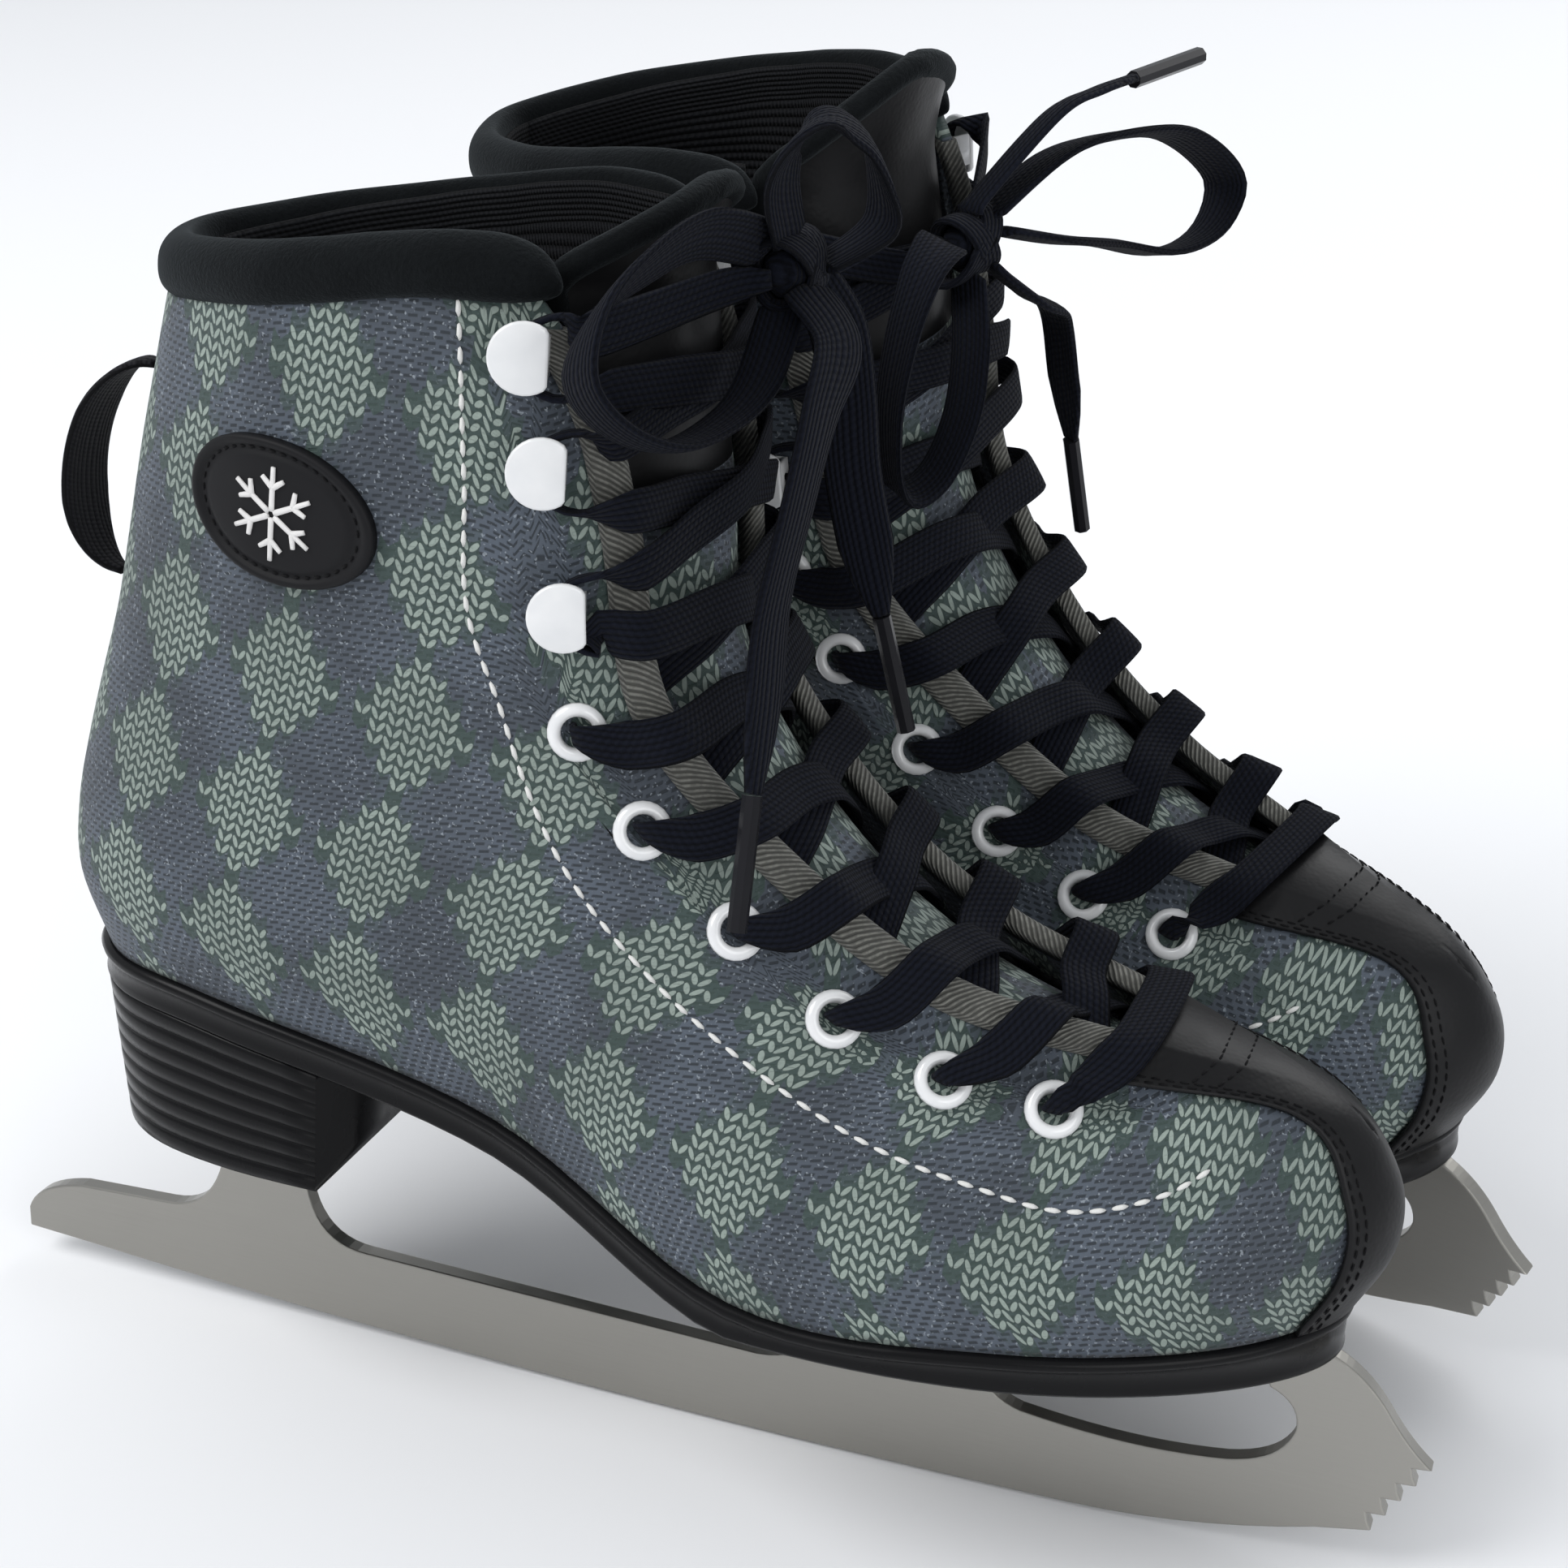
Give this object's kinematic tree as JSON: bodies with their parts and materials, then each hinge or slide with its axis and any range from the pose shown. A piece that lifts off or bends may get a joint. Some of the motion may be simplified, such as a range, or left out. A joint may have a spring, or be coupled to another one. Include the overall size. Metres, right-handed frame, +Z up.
{
  "type": "figure skates",
  "caption": "Pair of laced ankle-high figure skates with steel blades, toe picks, padded collars and patterned fabric uppers, standing side by side.",
  "frame": {"origin": "middle of the footprint of the standing pair, at the height of the lowest point of the blades", "axes": "+X towards the toes, +Y towards the left skate, +Z up"},
  "size_m": [0.2818, 0.1946, 0.2462],
  "materials": {
    "blade_steel": "satin ground steel",
    "plate_steel": "plain zinc-grey steel",
    "sole_rubber": "moulded, satin gloss",
    "insole_board": "matte board and foam",
    "patterned_fabric": "woven blue-grey cloth with a grey-green star pattern",
    "lining_knit": "ribbed knit",
    "strip_leather": "smooth leather",
    "twill_binding": "grey-brown twill tape",
    "white_enamel": "white enamel",
    "collar_fleece": "short pile",
    "tongue_leather": "padded leather",
    "lace_cord": "flat woven lace, navy black",
    "badge_rubber": "moulded rubber",
    "loop_webbing": "woven webbing",
    "aglet_plastic": "clear film over black"
  },
  "bodies": {
    "right_skate": {"right_aglet_a": "aglet_plastic", "right_aglet_b": "aglet_plastic", "right_back_stay": "twill_binding", "right_badge": "badge_rubber", "right_binding_inner": "twill_binding", "right_binding_outer": "twill_binding", "right_blade": "blade_steel", "right_bow_loop_a": "lace_cord", "right_bow_loop_b": "lace_cord", "right_collar": "collar_fleece", "right_eyelets_inner": "white_enamel", "right_eyelets_outer": "white_enamel", "right_heel": "sole_rubber", "right_heel_plate": "plate_steel", "right_hooks_inner": "white_enamel", "right_hooks_outer": "white_enamel", "right_insole": "insole_board", "right_lace": "lace_cord", "right_lace_end_a": "lace_cord", "right_lace_end_b": "lace_cord", "right_lace_knot": "lace_cord", "right_lining": "lining_knit", "right_outsole": "sole_rubber", "right_toe_plate": "plate_steel", "right_toe_strip": "strip_leather", "right_tongue": "tongue_leather", "right_upper_inner": "patterned_fabric", "right_upper_outer": "patterned_fabric"},
    "right_pull_loop": {"right_pull_loop": "loop_webbing"},
    "left_skate": {"left_aglet_a": "aglet_plastic", "left_aglet_b": "aglet_plastic", "left_back_stay": "twill_binding", "left_badge": "badge_rubber", "left_binding_inner": "twill_binding", "left_binding_outer": "twill_binding", "left_blade": "blade_steel", "left_bow_loop_a": "lace_cord", "left_bow_loop_b": "lace_cord", "left_collar": "collar_fleece", "left_eyelets_inner": "white_enamel", "left_eyelets_outer": "white_enamel", "left_heel": "sole_rubber", "left_heel_plate": "plate_steel", "left_hooks_inner": "white_enamel", "left_hooks_outer": "white_enamel", "left_insole": "insole_board", "left_lace": "lace_cord", "left_lace_end_a": "lace_cord", "left_lace_end_b": "lace_cord", "left_lace_knot": "lace_cord", "left_lining": "lining_knit", "left_outsole": "sole_rubber", "left_toe_plate": "plate_steel", "left_toe_strip": "strip_leather", "left_tongue": "tongue_leather", "left_upper_inner": "patterned_fabric", "left_upper_outer": "patterned_fabric"},
    "left_pull_loop": {"left_pull_loop": "loop_webbing"}
  },
  "joints": [
    {"name": "left_skate_lift", "type": "slide", "parent": "right_skate", "child": "left_skate", "axis": [0, 0, 1], "range_m": [0, 0.28]},
    {"name": "right_pull_loop_swing", "type": "hinge", "parent": "right_skate", "child": "right_pull_loop", "pos_m": [-0.1091, -0.05509, 0.17043], "axis": [0.211, 0.12, 0.9701], "range_deg": [-35, 35]},
    {"name": "left_pull_loop_swing", "type": "hinge", "parent": "left_skate", "child": "left_pull_loop", "pos_m": [-0.1091, 0.05509, 0.17043], "axis": [0.211, -0.12, 0.9701], "range_deg": [-35, 35]}
  ]
}
